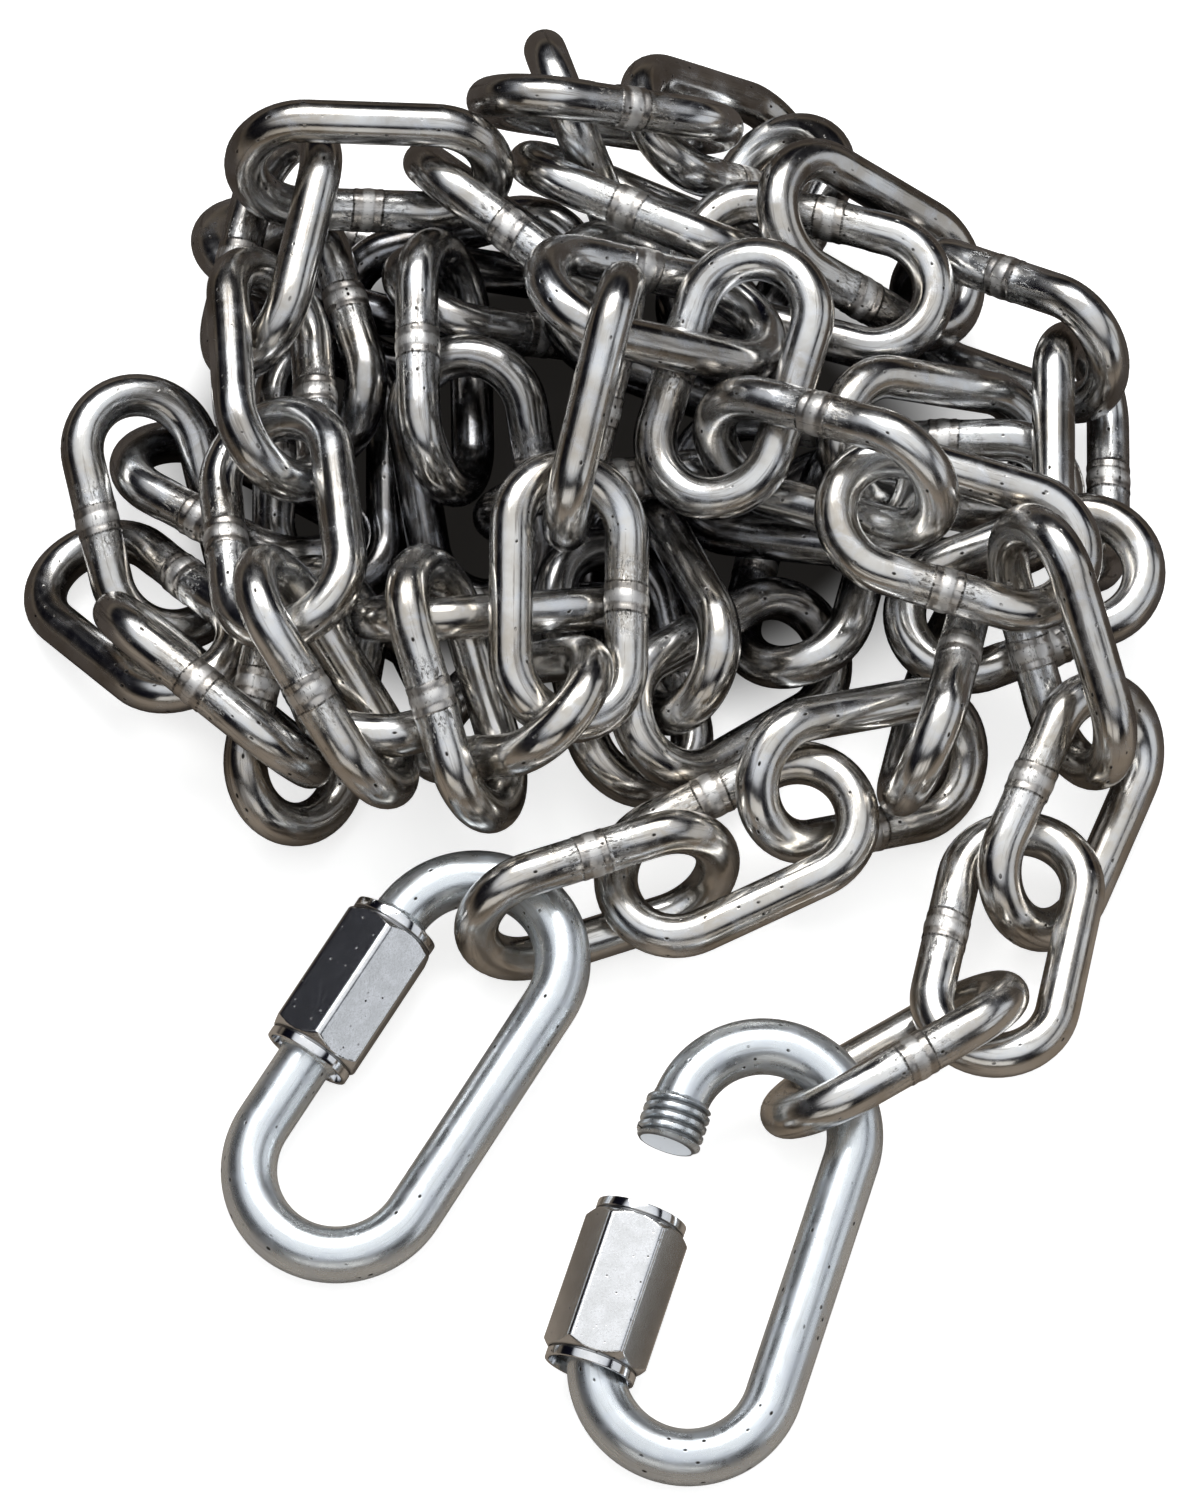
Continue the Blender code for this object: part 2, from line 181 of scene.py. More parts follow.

# What lies over the zinc of a wire, and the painted shade on it, and how much of the zinc's own tone each
# may take the place of
COOL_FILM = (0.78, 0.83, 0.92, 1.0)
COOL_FILM_SHARE = 0.4
WIRE_GRIME = (0.20, 0.18, 0.16, 1.0)
# Black of the pits and the weld's specks, and of the painted shade in the thread's grooves
WIRE_PIT_AND_GROOVE_SHADE = (0.05, 0.045, 0.04, 1.0)
WARM_FRONT = (0.62, 0.54, 0.43, 1.0)
WARM_FRONT_SHARE = 0.15
# Painted shade: the dark tone the chain takes low inside the heap, and also in blotches towards its back
DEEP_SHADE = (0.08, 0.075, 0.08, 1.0)
BLOTCH_SHARE = 0.30
LOW_PAINTED_SHADE_SHARE = 0.70
SAWN_END = (0.86, 0.90, 0.95, 1.0)
BURNT_BAND = (0.50, 0.46, 0.42, 1.0)
BURNT_BAND_SHARE = 0.6
BARE_RIDGE = (0.93, 0.92, 0.90, 1.0)
BARE_RIDGE_SHARE = 0.8
JAW_SHINE = (0.95, 0.95, 0.94, 1.0)
JAW_SHINE_SHARE = 0.7

# Where the chain's zinc begins to darken towards the back of the heap, and where it is darkest
FRONT_OF_HEAP = -20.0
BACK_OF_HEAP = 50.0

# Heights between which the painted shade on the chain inside the heap fades from its darkest to none
LOW_IN_HEAP = (8.0, 27.0)

# Painted shade low in the heap and painted shadow on the floor under it, in metres: its middle, one over
# its half length and half width, and the shares of those between which it fades on the chain and the floor
HEAP_MIDDLE = (-0.002, 0.044, 0.0)
HEAP_REACH = (1 / 0.055, 1 / 0.038, 0.0)
CHAIN_SHADE_EDGE = (0.70, 1.15)
FLOOR_SHADE_EDGE = (0.70, 1.10)

# Stage, in metres: a white board for the eye, and over it a grey card that only reflections see
SQUARE = ((-1, -1), (1, -1), (1, 1), (-1, 1))
STAGE_HALF_SIZE = 3.0
BOARD_HEIGHT = -0.00008
CARD_HEIGHT = -0.00005
BOARD_WHITE = (0.90, 0.90, 0.895, 1.0)
BOARD_GLOW = 0.80
CARD_FRONT = (0.32, 0.27, 0.22, 1.0)
CARD_BACK = (0.09, 0.075, 0.065, 1.0)
CARD_CHANGE = (-0.030, 0.012)
# Painted shadow: the tone of the floor and of the grey card under the middle of the heap
PAINTED_SHADOW_UNDER_HEAP = (0.014, 0.013, 0.012, 1.0)

# Studio by height above the horizon: brown at it, dark walls over it and a soft grey ceiling
STUDIO_STOPS = (
    (0.0, (0.15, 0.125, 0.10)),
    (0.14, (0.10, 0.085, 0.07)),
    (0.21, (0.003, 0.003, 0.005)),
    (0.66, (0.003, 0.003, 0.008)),
    (0.75, (0.62, 0.64, 0.68)),
    (0.86, (0.82, 0.84, 0.87)),
    (1.0, (0.90, 0.91, 0.92)),
)

# Camera: it looks down at a point this far from the middle of the closed quick link
AIM_FROM_CLOSED_LINK = (23.5, 42.8)
AIM_HEIGHT = 8.0
CAMERA_DISTANCE = 800.0
CAMERA_TILT = 63.0
PIXELS_PER_MM = 7.98
IMAGE_HEIGHT = 1500
SENSOR_HEIGHT = 24.0


def unit(vector):
    return vector / np.linalg.norm(vector)


def smooth_step(low, high, value):
    """Share from 0 below low to 1 above high, with a level start and end."""
    share = np.clip((value - low) / (high - low), 0, 1)
    return share * share * (3 - 2 * share)


def round_angles(columns):
    """Angles of the columns of a grid, evenly round a turn."""
    return np.arange(columns) / columns * TURN


def node_points(name):
    """Corners of a solid's mesh."""
    mesh = frame["nodes"][name].data
    points = np.zeros(len(mesh.vertices) * 3, np.float32)
    mesh.vertices.foreach_get("co", points)
    return points.reshape(-1, 3).astype(float) / MM


def mid_extent(values):
    return (values.min() + values.max()) / 2


def spread_axes(points):
    """Directions in which a solid's corners are spread least, more and most, as columns."""
    return np.linalg.eigh(np.cov(points.T))[1]


def ring_path(length, half_bar, radius):
    """Centre line of a ring by arc length: half a bar, a half circle, and half a bar, then all of it
    turned by half a turn. Returns its points and the directions that face out of the ring.
    """
    half = 2 * half_bar + math.pi * radius
    place = np.mod(length, 2 * half)
    side = np.where(place < half, 1.0, -1.0)
    place = np.where(place < half, place, place - half)
    angle = np.clip((place - half_bar) / radius, 0, math.pi)
    past_bend = np.maximum(place - half_bar - math.pi * radius, 0)
    x = past_bend - np.minimum(place, half_bar) - radius * np.sin(angle)
    y = radius * np.cos(angle)
    flat = np.zeros_like(x)
    points = np.stack([side * x, side * y, flat], axis=-1)
    out = np.stack([-side * np.sin(angle), side * np.cos(angle), flat], axis=-1)
    return points, out


def wire_surface(path, out, radius, angle):
    """Tube round a path: centre + radius * (cos(angle) * outward + sin(angle) * up)."""
    up = np.array([0.0, 0.0, 1.0])
    around = np.cos(angle)[..., None] * out[:, None] + np.sin(angle)[..., None] * up
    return path[:, None] + radius[..., None] * around


def placed(points, middle, axes):
    """Points of a piece's own frame, put where its solid lies. Rows of axes are its X, Y and Z."""
    return middle + points @ axes


def grid_mesh(name, points, closed, fields, sharp_angle):
    """Mesh of a grid of points whose rows follow one another and whose columns go round.

    A closed grid joins its last row to its first. An open one has a point in the middle of each end.
    Fields are named values at the grid's points, which the materials read as attributes.
    """
    rows, columns = points.shape[:2]
    index = np.arange(rows * columns).reshape(rows, columns)
    near = index if closed else index[:-1]
    far = np.roll(index, -1, axis=0) if closed else index[1:]
    quads = np.stack([near, far, np.roll(far, -1, axis=1), np.roll(near, -1, axis=1)], axis=-1)
    faces = quads.reshape(-1, 4).tolist()
    corners = points.reshape(-1, 3)
    values = {field: value.reshape(rows * columns, -1) for field, value in fields.items()}
    if not closed:
        for end, row in ((0, index[0]), (-1, index[-1][::-1])):
            pole = np.full(columns, len(corners))
            faces += np.stack([pole, row, np.roll(row, -1)], axis=-1).tolist()
            corners = np.concatenate([corners, points[end].mean(axis=0)[None]])
            for field, value in fields.items():
                middle = value[end].mean(axis=0).reshape(1, -1)
                values[field] = np.concatenate([values[field], middle])
    mesh = bpy.data.meshes.new(name)
    mesh.from_pydata((corners * MM).tolist(), [], faces)
    for field, value in values.items():
        kind, key = ("FLOAT_VECTOR", "vector") if value.shape[1] == 3 else ("FLOAT", "value")
        attribute = mesh.attributes.new(field, kind, "POINT")
        attribute.data.foreach_set(key, value.astype(np.float32).ravel())
    mesh.shade_smooth()
    mesh.set_sharp_from_angle(angle=math.radians(sharp_angle))
    mesh.update()
    return mesh


def add_piece(name, mesh, node, material):
    """Object for one solid, with its look, standing for the solid and riding on its body."""
    item = bpy.data.objects.new(name, mesh)
    mesh.materials.append(material)
    bpy.context.scene.collection.objects.link(item)
    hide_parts(node)
    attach(item, frame["nodes"][node]["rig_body"])


def link_pose(points):
    """Middle and axes of a chain link, with the weld on the bar at its own +Y.

    The axes are those along which its corners are spread most and least.
    """
    spread = spread_axes(points)
    along, across = spread[:, 2], spread[:, 1]
    axes = np.stack([along, across, np.cross(along, across)])
    local = points @ axes.T
    ends = np.abs(local[:, 0] - mid_extent(local[:, 0])) > LINK_HALF_BAR / 2
    middle = np.array([mid_extent(local[ends, k]) for k in range(3)]) @ axes
    if ((points - middle) @ across > 0).mean() < 0.5:
        across = -across
    return middle, np.stack([along, across, np.cross(along, across)])


def link_rows():
    """Arc lengths of a link's rows from the middle of its weld, close together at the weld."""
    total = 4 * LINK_HALF_BAR + TURN * LINK_RADIUS
    bar = [np.linspace(low, high, count, endpoint=False) for low, high, count in BAR_ROWS]
    bend = LINK_HALF_BAR + np.linspace(0, math.pi * LINK_RADIUS, BEND_ROWS, endpoint=False)
    far_bar = LINK_HALF_BAR + math.pi * LINK_RADIUS
    far_bar = far_bar + np.linspace(0, LINK_HALF_BAR, FAR_BAR_ROWS, endpoint=False)
    half = np.concatenate([*bar, bend, far_bar])
    return np.concatenate([half, [total / 2], (total - half[1:])[::-1]]), total


def waves(random, length, angle, total):
    """Slow swells over a closed wire: a sum of cosines with whole numbers of waves each way."""
    swell = np.zeros(np.broadcast(length, angle).shape)
    for along, around in SWELL_WAVES:
        phase = random.uniform(0, TURN)
        strength = random.uniform(0.4, 1.0) * SWELL / math.sqrt(along)
        swell += strength * np.cos(TURN * along * length / total + around * angle + phase)
    return swell


def link_surface(random):
    """Wire of one link: radius = wire + swells + weld band + ragged ridge - troughs - jaw marks.

    The band rises by BAND_HEIGHT over BAND_EDGE on both sides, the ridge is a bell curve on the
    band's middle whose height wavers round the wire, and the jaws press two shallow flats.
    """
    rows, total = link_rows()
    length, angle = np.meshgrid(rows, round_angles(LINK_COLUMNS), indexing="ij")
    skew = random.uniform(-LARGEST_SKEW, LARGEST_SKEW)
    lean = random.uniform(0, TURN)
    signed = np.where(length < total / 2, length, length - total) + skew * np.cos(angle - lean)
    away = np.abs(signed)
    edge = BAND_HALF_WIDTH + BAND_WAVER * np.cos(3 * angle + lean)
    band = 1 - smooth_step(edge - BAND_EDGE / 2, edge + BAND_EDGE / 2, away)
    ragged = 1 + RIDGE_WAVER * np.cos(5 * angle + 2 * lean) * np.cos(2 * angle + skew)
    ridge = np.exp(-(signed / RIDGE_WIDTH) ** 2) * ragged
    trough = np.exp(-((away - TROUGH_PLACE) / TROUGH_WIDTH) ** 2)
    jaw_side = random.uniform(0, math.pi)
    jaw = smooth_step(*JAW_REACH, np.abs(np.cos(angle - jaw_side)))
    jaw *= smooth_step(edge, edge + JAW_MARK_START, away)
    jaw *= 1 - smooth_step(edge + JAW_MARK_LENGTH - JAW_MARK_FADE, edge + JAW_MARK_LENGTH, away)
    radius = WIRE_RADIUS + waves(random, length, angle, total)
    radius += BAND_HEIGHT * band + RIDGE_HEIGHT * ridge
    radius -= TROUGH_DEPTH * trough * band + JAW_MARK_DEPTH * jaw
    path, out = ring_path(rows, LINK_HALF_BAR, LINK_RADIUS)
    points = wire_surface(path, out, radius, angle)
    from_weld = np.minimum(length, total - length)
    shift = random.uniform(0, PATTERN_SHIFT, 3)
    place = np.stack([from_weld, WIRE_RADIUS * np.cos(angle), WIRE_RADIUS * np.sin(angle)], axis=-1)
    return points, {"wire_place": place + shift, "weld_distance": away}


def thread_radius(depth, angle):
    """Stud by distance from its end: a helical ridge with a flat top, one turn to a pitch, cut to a
    cone at the end and running out where the stud ends."""
    turn = np.mod(depth / THREAD_PITCH - angle / TURN, 1)
    ridge = np.clip(THREAD_FLANK * np.abs(2 * turn - 1) - THREAD_GROOVE, 0, 1)
    run_out = 1 - smooth_step(STUD_LENGTH - THREAD_RUN_OUT, STUD_LENGTH, depth)
    thread = THREAD_ROOT + (THREAD_CREST - THREAD_ROOT) * ridge
    stud = QUICK_RADIUS + (thread - QUICK_RADIUS) * run_out
    return np.minimum(stud, THREAD_CREST - STUD_CHAMFER + depth)


def quick_surface(random):
    """Body of a quick link, from the lower stud round the far bar to the upper stud."""
    total = 4 * QUICK_HALF_BAR + TURN * QUICK_BEND
    first, last = -LOWER_STUD_END, total - UPPER_STUD_END
    rows = np.concatenate([
        first + np.linspace(0, STUD_LENGTH, STUD_ROWS, endpoint=False),
        np.linspace(first + STUD_LENGTH, last - STUD_LENGTH, QUICK_ROWS, endpoint=False),
        last - STUD_LENGTH + np.linspace(0, STUD_LENGTH, STUD_ROWS),
    ])
    length, angle = np.meshgrid(rows, round_angles(QUICK_COLUMNS), indexing="ij")
    from_end = np.minimum(length - first, last - length)
    radius = np.where(from_end < STUD_LENGTH, thread_radius(from_end, angle), QUICK_RADIUS)
    radius = radius + waves(random, length, angle, total)
    path, out = ring_path(rows, QUICK_HALF_BAR, QUICK_BEND)
    points = wire_surface(path, out, radius, angle)
    shift = random.uniform(0, PATTERN_SHIFT, 3)
    place = np.stack([length, QUICK_RADIUS * np.cos(angle), QUICK_RADIUS * np.sin(angle)], axis=-1)
    over_root = np.where(from_end < STUD_LENGTH - THREAD_MARGIN, radius - THREAD_ROOT, 1.0)
    faces = []
    for end in (0, -1):
        centre = points[end].mean(axis=0)
        faces.append(centre + END_FACE_SHARE * (points[end] - centre))
    points = np.concatenate([faces[0][None], points, faces[1][None]])
    place = np.concatenate([place[:1], place, place[-1:]]) + shift
    flat = np.full((1, QUICK_COLUMNS), END_FACE)
    return points, {"wire_place": place, "over_root": np.concatenate([flat, over_root, flat])}


def sleeve_surface():
    """Sleeve: its outside is a hexagon, no larger than a cone at each end, with a groove and a round
    collar, and its inside is a bore that widens to a mouth at each end.

    The hexagon's radius is half of ACROSS_FLATS / cos(angle from the middle of the nearest flat).
    """
    half = SLEEVE_LENGTH / 2
    sector = math.pi / 3
    turned = round_angles(SLEEVE_COLUMNS)
    from_flat = np.mod(turned + sector / 2, sector) - sector / 2
    hexagon = np.minimum(ACROSS_FLATS / 2 / np.cos(from_flat), CORNER_RADIUS)
    collar_foot = half - COLLAR_LENGTH
    shoulder = half - COLLAR_LENGTH - GROOVE_WIDTH
    end = [(half, MOUTH_RADIUS + END_EDGE)]
    end += [(half - back, COLLAR_RADIUS - down) for back, down in COLLAR_EDGE]
    end += [
        (collar_foot + COLLAR_FOOT_EDGE[0], COLLAR_RADIUS),
        (collar_foot, COLLAR_RADIUS - COLLAR_FOOT_EDGE[1]),
        (collar_foot, GROOVE_RADIUS),
        (shoulder, GROOVE_RADIUS),
    ]
    for step in np.linspace(0, CHAMFER_LENGTH, CHAMFER_ROWS):
        end.append((shoulder - step, CHAMFER_START + CHAMFER_SLOPE * step))
    flats = np.linspace(shoulder - FLAT_START, FLAT_START - shoulder, FLAT_ROWS)
    flats = [(x, 2 * CORNER_RADIUS) for x in flats]
    inside = [(-half + MOUTH_EDGE, MOUTH_RADIUS), (MOUTH_DEPTH - half, BORE_RADIUS)]
    inside += [(half - MOUTH_DEPTH, BORE_RADIUS), (half - MOUTH_EDGE, MOUTH_RADIUS)]
    profile = np.array(end + flats + [(-x, limit) for x, limit in end[::-1]] + inside)
    outside = len(profile) - len(inside)
    radius = np.minimum(profile[:, 1][:, None], hexagon[None])
    radius[outside:] = profile[outside:, 1][:, None]
    along = np.broadcast_to(profile[:, 0][:, None], radius.shape)
    points = np.stack([along, radius * np.cos(turned), radius * np.sin(turned)], axis=-1)
    return points, {"end_distance": half - np.abs(along)}


def sleeve_pose(kind):
    """Middle and axes of a sleeve, with a flat at its own +Y, from the mount on that flat."""
    joint = next(j for j in frame["joints"] if j["name"] == f"sleeve_{kind}_travel")
    mount = next(m for m in frame["record"]["mounts"] if m["name"] == f"wrench_flat_{kind}")
    along = unit(np.array(joint["axis"]))
    face = np.array(mount["axis"])
    face = unit(face - (face @ along) * along)
    middle = np.array(mount["pos_m"]) / MM - face * ACROSS_FLATS / 2
    return middle, np.stack([along, face, np.cross(along, face)])


def quick_pose(kind):
    """Middle and axes of a quick link's body, with the sleeve's bar at its own +Y."""
    points = node_points(f"quick_link_{kind}")
    sleeve_middle, sleeve_axes = sleeve_pose(kind)
    along = sleeve_axes[0]
    least = spread_axes(points)[:, 0]
    up = least * np.sign(least[2])
    up = unit(up - (up @ along) * along)
    across = np.cross(up, along)
    level = mid_extent(points @ along)
    middle = sleeve_middle + (level - sleeve_middle @ along) * along - QUICK_BEND * across
    return middle, np.stack([along, across, up])


class Socket:
    """An output in shader maths: an expression on it adds the Math nodes that work it out."""

    def __init__(self, paint, output):
        self.paint = paint
        self.output = output

    def math(self, operation, *values):
        return self.paint.node("ShaderNodeMath", {"operation": operation}, dict(enumerate(values)))

    def __add__(self, other):
        return self.math("ADD", self, other)

    __radd__ = __add__

    def __sub__(self, other):
        return self.math("SUBTRACT", self, other)

    def __rsub__(self, other):
        return self.math("SUBTRACT", other, self)

    def __mul__(self, other):
        return self.math("MULTIPLY", self, other)

    __rmul__ = __mul__

    def absolute(self):
        return self.math("ABSOLUTE", self)

    def at_most_one(self):
        return self.math("MINIMUM", self, 1.0)

    def step(self, low, high):
        """Share from 0 at low to 1 at high, levelling off at both."""
        return self.paint.node("ShaderNodeMapRange", {"interpolation_type": "SMOOTHSTEP"},
                               {"Value": self, "From Min": low, "From Max": high})


class Paint:
    """The nodes of a material or of the world, and the shader that they end in."""

    def __init__(self, owner, shader="Principled BSDF"):
        owner.use_nodes = True
        self.owner = owner
        self.tree = owner.node_tree
        self.shader = self.tree.nodes[shader]

    def node(self, kind, settings=None, sockets=None, output=0):
        """A node of a type, its settings, its sockets' values or links, and the output it gives."""
        made = self.tree.nodes.new(kind)
        for key, value in (settings or {}).items():
            if key == "stops":
                for place, tone in value[2:]:
                    made.color_ramp.elements.new(place)
                for element, (place, tone) in zip(made.color_ramp.elements, value):
                    element.position = place
                    element.color = (*tone, 1.0)
            else:
                setattr(made, key, value)
        for key, value in (sockets or {}).items():
            self.feed(made.inputs[key], value)
        return Socket(self, made.outputs[output])

    def feed(self, entry, value):
        if isinstance(value, Socket):
            self.tree.links.new(value.output, entry)
        else:
            entry.default_value = value

    def set(self, **values):
        """Values or links of the shader's own sockets, by name with _ for a space."""
        for key, value in values.items():
            self.feed(self.shader.inputs[key.replace("_", " ").title()], value)

    def spot(self):
        """Place of a point on the object, in metres."""
        return self.node("ShaderNodeTexCoord", output="Object")

    def field(self, name, output):
        """One of the fields that grid_mesh wrote."""
        return self.node("ShaderNodeAttribute", {"attribute_name": name}, output=output)

    def scaled(self, vector, scale):
        """Vector times a scale, which is one number or one for each of its three parts."""
        scale = scale if isinstance(scale, tuple) else (scale, scale, scale)
        return self.node("ShaderNodeVectorMath", {"operation": "MULTIPLY"}, {0: vector, 1: scale})

    def noise(self, vector, scale, detail, rough=0.55, distortion=0.0):
        """Cloudy values about a half, on a vector times a scale."""
        return self.node("ShaderNodeTexNoise", {},
                         {"Vector": self.scaled(vector, scale), "Scale": 1.0, "Detail": detail,
                          "Roughness": rough, "Distortion": distortion})

    def specks(self, vector, scale, core, rim):
        """Round specks: 1 nearer to the middle of one than its core, and 0 beyond its rim."""
        away = self.node("ShaderNodeTexVoronoi", {"feature": "F1"},
                         {"Vector": self.scaled(vector, scale), "Scale": 1.0})
        return 1 - away.step(core, rim)

    def mix(self, share, first, second):
        """Colour between two colours."""
        return self.node("ShaderNodeMix", {"data_type": "RGBA"}, {0: share, 6: first, 7: second}, 2)

    def relief(self, strength, depth, height):
        return self.node("ShaderNodeBump", {}, {"Strength": strength, "Distance": depth, "Height": height})

    def heap_reach(self):
        """How far out in the heap a point lies: 0 over its middle and 1 round its edge."""
        off = self.node("ShaderNodeVectorMath", {"operation": "SUBTRACT"}, {0: self.spot(), 1: HEAP_MIDDLE})
        reach = self.scaled(off, HEAP_REACH)
        return self.node("ShaderNodeVectorMath", {"operation": "LENGTH"}, {0: reach}, 1)


def painted_shade_in_heap(paint, spot, zinc):
    """Zinc warmer in front, in blotches darker at the back, and darkened by painted shade low inside the
    heap.
    """
    depth = paint.node("ShaderNodeSeparateXYZ", {}, {0: spot}, 1).step(FRONT_OF_HEAP, BACK_OF_HEAP)
    level = paint.node("ShaderNodeSeparateXYZ", {}, {0: spot}, 2)
    # Painted shade: the chain goes dark low inside the heap, where its links would shade one another
    low = (1 - level.step(*LOW_IN_HEAP)) * (1 - paint.heap_reach().step(*CHAIN_SHADE_EDGE))
    blotch = paint.noise(spot, 0.035, detail=2.0).step(0.42, 0.60)
    zinc = paint.mix((1 - depth) * WARM_FRONT_SHARE, zinc, WARM_FRONT)
    return paint.mix(BLOTCH_SHARE * blotch * depth + LOW_PAINTED_SHADE_SHARE * low, zinc, DEEP_SHADE)


def weld_marks(paint, wire, patches, grain, zinc):
    """Burnt band at the weld, its bare ridge, and the specks and shine where the jaws pressed.

    Returns the zinc with them, and what they add to its dark spots, roughness and height.
    """
    run = paint.field("weld_distance", "Fac")
    ragged = run + 0.7 * (patches - 0.5) + 0.5 * (grain - 0.5)
    band = 1 - run.step(BAND_HALF_WIDTH - 0.1, BAND_HALF_WIDTH + 0.1)
    ridge = 1 - ragged.step(0.55, 0.9)
    rim = 1 - (run - BAND_HALF_WIDTH).absolute().step(0.08, 0.22)
    flaws = paint.noise(wire, (0.9, 2.2, 2.2), detail=6.0, rough=0.75, distortion=0.8)
    marks = run.step(BAND_HALF_WIDTH, BAND_HALF_WIDTH + 0.3)
    marks = marks * (1 - run.step(JAW_MARK_LENGTH - 1.0, JAW_MARK_LENGTH + 2.0))
    scuffs = marks * flaws.step(0.55, 0.59)
    shine = marks * (1 - flaws.step(0.42, 0.47))
    zinc = paint.mix(band * BURNT_BAND_SHARE, zinc, BURNT_BAND)
    zinc = paint.mix(ridge * BARE_RIDGE_SHARE, zinc, BARE_RIDGE)
    zinc = paint.mix(shine * JAW_SHINE_SHARE, zinc, JAW_SHINE)
    dark = 0.8 * rim * flaws.step(0.40, 0.55) + 0.8 * scuffs + 0.7 * band * flaws.step(0.54, 0.64)
    rough = 0.10 * band + 0.06 * marks + 0.12 * ridge
    height = 1.2 * ridge * flaws - 1.5 * scuffs + 0.4 * marks * flaws
    return zinc, dark, rough, height


def wire_zinc(name, welded, dull, bright, polish, grime):
    """Bright zinc on drawn wire: clouds of dull and bright grey, streaks along the wire, grain and
    black pits, and then the marks of the weld, or the sawn ends and painted shade in the grooves of the
    thread."""
    paint = Paint(bpy.data.materials.new(name))
    spot = paint.scaled(paint.spot(), 1 / MM)
    wire = paint.field("wire_place", "Vector")
    clouds = paint.noise(spot, 0.09, detail=4.0)
    patches = paint.noise(spot, 0.34, detail=5.0, rough=0.6, distortion=0.6)
    streaks = paint.noise(wire, (0.10, 1.5, 1.5), detail=5.0, rough=0.6)
    grain = paint.noise(wire, (1.6, 4.5, 4.5), detail=3.0, rough=0.6)
    pits = paint.specks(wire, (0.42, 0.6, 0.6), core=0.07, rim=0.15) * patches.step(0.40, 0.52)
    zinc = paint.mix(clouds.step(0.30, 0.70), dull, bright)
    if welded:
        zinc = painted_shade_in_heap(paint, spot, zinc)
    zinc = paint.mix(patches.step(0.42, 0.72) * COOL_FILM_SHARE, zinc, COOL_FILM)
    zinc = paint.mix(streaks.step(0.52, 0.68) * grime, zinc, WIRE_GRIME)
    rough = polish + 0.12 * streaks.step(0.35, 0.75) + 0.10 * patches.step(0.4, 0.7)
    height = 0.5 * streaks + 0.25 * grain - 2.0 * pits
    if welded:
        zinc, weld_dark, weld_rough, weld_height = weld_marks(paint, wire, patches, grain, zinc)
        dark = (pits + weld_dark).at_most_one()
        rough = rough + weld_rough
        height = height + weld_height
        metal = 1.0
    else:
        over_root = paint.field("over_root", "Fac")
        sawn = 1 - over_root.step(END_FACE + 0.1, END_FACE + 0.2)
        # Painted shade: the roots of the thread's grooves go dark
        groove = (1 - over_root.step(0.05, 0.35)) * (1 - sawn)
        zinc = paint.mix(sawn, zinc, SAWN_END)
        dark = (pits + 0.7 * groove).at_most_one()
        rough = rough + 0.3 * sawn
        metal = QUICK_METAL * (1 - sawn)
    zinc = paint.mix(dark, zinc, WIRE_PIT_AND_GROOVE_SHADE)
    rough = rough + 0.25 * dark
    relief = paint.relief(*WIRE_RELIEF, height)
    paint.set(base_color=zinc, roughness=rough, metallic=metal, normal=relief)
    return paint.owner


def sleeve_zinc(name):
    """Bright zinc on a turned and milled sleeve: matt grain on the flats, polished ends, black specks."""
    paint = Paint(bpy.data.materials.new(name))
    spot = paint.scaled(paint.spot(), 1 / MM)
    end = paint.field("end_distance", "Fac")
    patches = paint.noise(spot, 0.5, detail=4.0)
    grain = paint.noise(spot, 4.0, detail=4.0, rough=0.7)
    pits = paint.specks(spot, 0.9, core=0.08, rim=0.16) * patches.step(0.48, 0.58)
    flats = end.step(COLLAR_LENGTH + GROOVE_WIDTH, COLLAR_LENGTH + GROOVE_WIDTH + 0.4)
    # Painted shade: the groove between each collar and the hexagon goes dark
    groove = 1 - (end - (COLLAR_LENGTH + GROOVE_WIDTH / 2)).absolute().step(0.1, 0.3)
    zinc = paint.mix(patches.step(0.35, 0.65), SLEEVE_DULL, SLEEVE_BRIGHT)
    zinc = paint.mix(flats * grain.step(0.45, 0.65) * 0.4, zinc, SLEEVE_GRAIN)
    dark = (pits + 0.6 * groove).at_most_one()
    zinc = paint.mix(dark, zinc, SLEEVE_PIT_AND_GROOVE_SHADE)
    rough = 0.10 + 0.10 * grain * flats + 0.3 * dark
    relief = paint.relief(*SLEEVE_RELIEF, flats * grain - 1.5 * pits)
    paint.set(base_color=zinc, roughness=rough, metallic=SLEEVE_METAL, normal=relief)
    return paint.owner


def floor_look(name, front, back, glow):
    """Matt board, of one tone in front of the heap and another behind, with a little glow of its own,
    which keeps shadows faint, and a painted shadow under the heap."""
    paint = Paint(bpy.data.materials.new(name))
    far = paint.node("ShaderNodeSeparateXYZ", {}, {0: paint.spot()}, 1).step(*CARD_CHANGE)
    tone = paint.mix(far, front, back)
    # Painted shadow: the board turns dark under the middle of the heap
    tone = paint.mix(paint.heap_reach().step(*FLOOR_SHADE_EDGE), PAINTED_SHADOW_UNDER_HEAP, tone)
    paint.set(base_color=tone, roughness=0.9, emission_color=tone, emission_strength=glow)
    paint.feed(paint.shader.inputs["Specular IOR Level"], 0.0)
    return paint.owner


def add_plane(name, height, material):
    """Square sheet of the stage at a height."""
    mesh = bpy.data.meshes.new(name)
    corners = [(x * STAGE_HALF_SIZE, y * STAGE_HALF_SIZE, height) for x, y in SQUARE]
    mesh.from_pydata(corners, [], [(0, 1, 2, 3)])
    mesh.materials.append(material)
    plane = bpy.data.objects.new(name, mesh)
    bpy.context.scene.collection.objects.link(plane)
    return plane


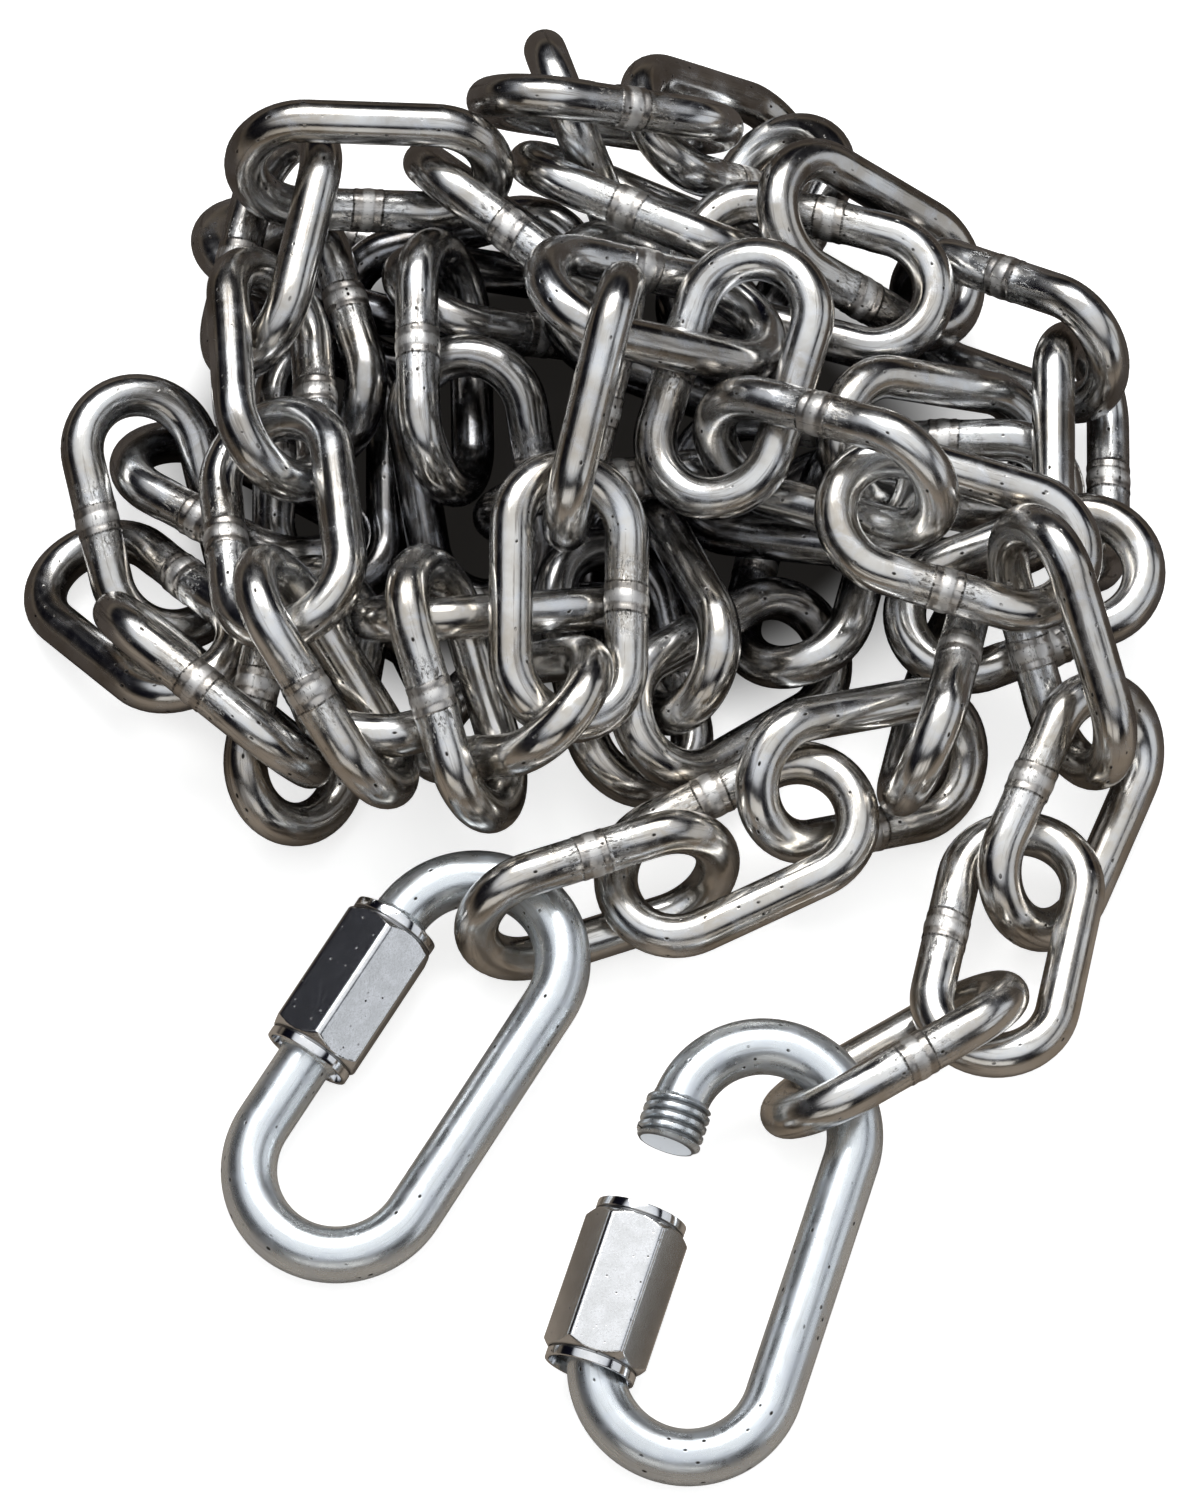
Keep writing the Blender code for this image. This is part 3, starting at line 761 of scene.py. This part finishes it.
def add_stage():
    """White floor for the eye, and a grey card just over it that only reflections see."""
    grey = floor_look("grey_board", CARD_FRONT, CARD_BACK, 0.0)
    white = floor_look("white_board", BOARD_WHITE, BOARD_WHITE, BOARD_GLOW)
    board = add_plane("floor", BOARD_HEIGHT, white)
    card = add_plane("grey_card", CARD_HEIGHT, grey)
    board.visible_glossy = False
    card.visible_camera = False
    card.visible_diffuse = False
    card.visible_shadow = False


def add_panel(name, direction, distance, width, height, power, tint):
    """Soft light panel in a direction from the heap, facing it."""
    light = bpy.data.lights.new(name, "AREA")
    light.shape = "RECTANGLE"
    light.size = width
    light.size_y = height
    light.energy = power
    light.color = tint
    item = bpy.data.objects.new(name, light)
    place = Vector(direction).normalized() * distance
    item.location = place
    item.rotation_euler = place.to_track_quat("Z", "Y").to_euler()
    bpy.context.scene.collection.objects.link(item)


def add_world():
    """Studio round the heap, by height above the horizon."""
    studio = Paint(bpy.data.worlds.new("studio"), "Background")
    where = studio.node("ShaderNodeTexCoord", output="Generated")
    height = studio.node("ShaderNodeSeparateXYZ", {}, {0: where}, "Z")
    studio.set(color=studio.node("ShaderNodeValToRGB", {"stops": STUDIO_STOPS}, {"Fac": height}))
    bpy.context.scene.world = studio.owner


def add_light():
    """White key panel towards the back left, a softer one at the right and a low one in front."""
    add_world()
    add_panel("key_panel", direction=(-0.05, 0.48, 0.9), distance=1.3, width=0.95, height=0.6,
              power=8.0, tint=(1.0, 0.995, 0.98))
    add_panel("right_panel", direction=(1.0, -0.1, 0.40), distance=1.3, width=1.5, height=0.60,
              power=1.9, tint=(0.93, 0.96, 1.0))
    add_panel("front_panel", direction=(-0.15, -1.0, 0.40), distance=1.5, width=1.5, height=0.55,
              power=1.8, tint=(1.0, 0.97, 0.92))


def add_camera():
    """Camera that looks down on the heap, with the quick links in front."""
    middle = quick_pose("closed")[0]
    tilt = math.radians(CAMERA_TILT)
    aim = Vector((middle[0] + AIM_FROM_CLOSED_LINK[0], middle[1] + AIM_FROM_CLOSED_LINK[1], AIM_HEIGHT))
    place = aim + CAMERA_DISTANCE * Vector((0.0, -math.cos(tilt), math.sin(tilt)))
    camera = bpy.data.cameras.new("camera")
    camera.sensor_fit = "VERTICAL"
    camera.sensor_height = SENSOR_HEIGHT
    camera.lens = PIXELS_PER_MM * CAMERA_DISTANCE / IMAGE_HEIGHT * SENSOR_HEIGHT
    camera.clip_start = 0.01
    item = bpy.data.objects.new("camera", camera)
    item.location = place * MM
    item.rotation_euler = (math.pi / 2 - tilt, 0.0, 0.0)
    bpy.context.scene.collection.objects.link(item)
    bpy.context.scene.camera = item


def add_chain():
    """Every chain link, each with swells, a weld and jaw marks of its own."""
    material = wire_zinc("chain_zinc", True, CHAIN_DULL, CHAIN_BRIGHT, polish=0.14, grime=0.65)
    nodes = sorted(name for name in frame["nodes"] if name.startswith("link_"))
    for number, node in enumerate(nodes):
        points, fields = link_surface(np.random.RandomState(number))
        points = placed(points, *link_pose(node_points(node)))
        mesh = grid_mesh(f"chain_{node}", points, True, fields, LINK_SHARP_ANGLE)
        add_piece(f"chain_{node}", mesh, node, material)


def add_quick_links():
    """Both quick links and their sleeves."""
    body_look = wire_zinc("quick_link_zinc", False, QUICK_DULL, QUICK_BRIGHT, polish=0.22, grime=0.25)
    sleeve_look = sleeve_zinc("sleeve_zinc")
    for number, kind in enumerate(("closed", "open")):
        points, fields = quick_surface(np.random.RandomState(QUICK_SEED + number))
        points = placed(points, *quick_pose(kind))
        mesh = grid_mesh(f"quick_link_body_{kind}", points, False, fields, QUICK_SHARP_ANGLE)
        add_piece(f"quick_link_body_{kind}", mesh, f"quick_link_{kind}", body_look)
        points, fields = sleeve_surface()
        points = placed(points, *sleeve_pose(kind))
        mesh = grid_mesh(f"screw_sleeve_{kind}", points, True, fields, SLEEVE_SHARP_ANGLE)
        add_piece(f"screw_sleeve_{kind}", mesh, f"sleeve_{kind}", sleeve_look)


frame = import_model()
bpy.context.scene.view_settings.view_transform = "Standard"
add_camera()
add_chain()
add_quick_links()
add_stage()
add_light()
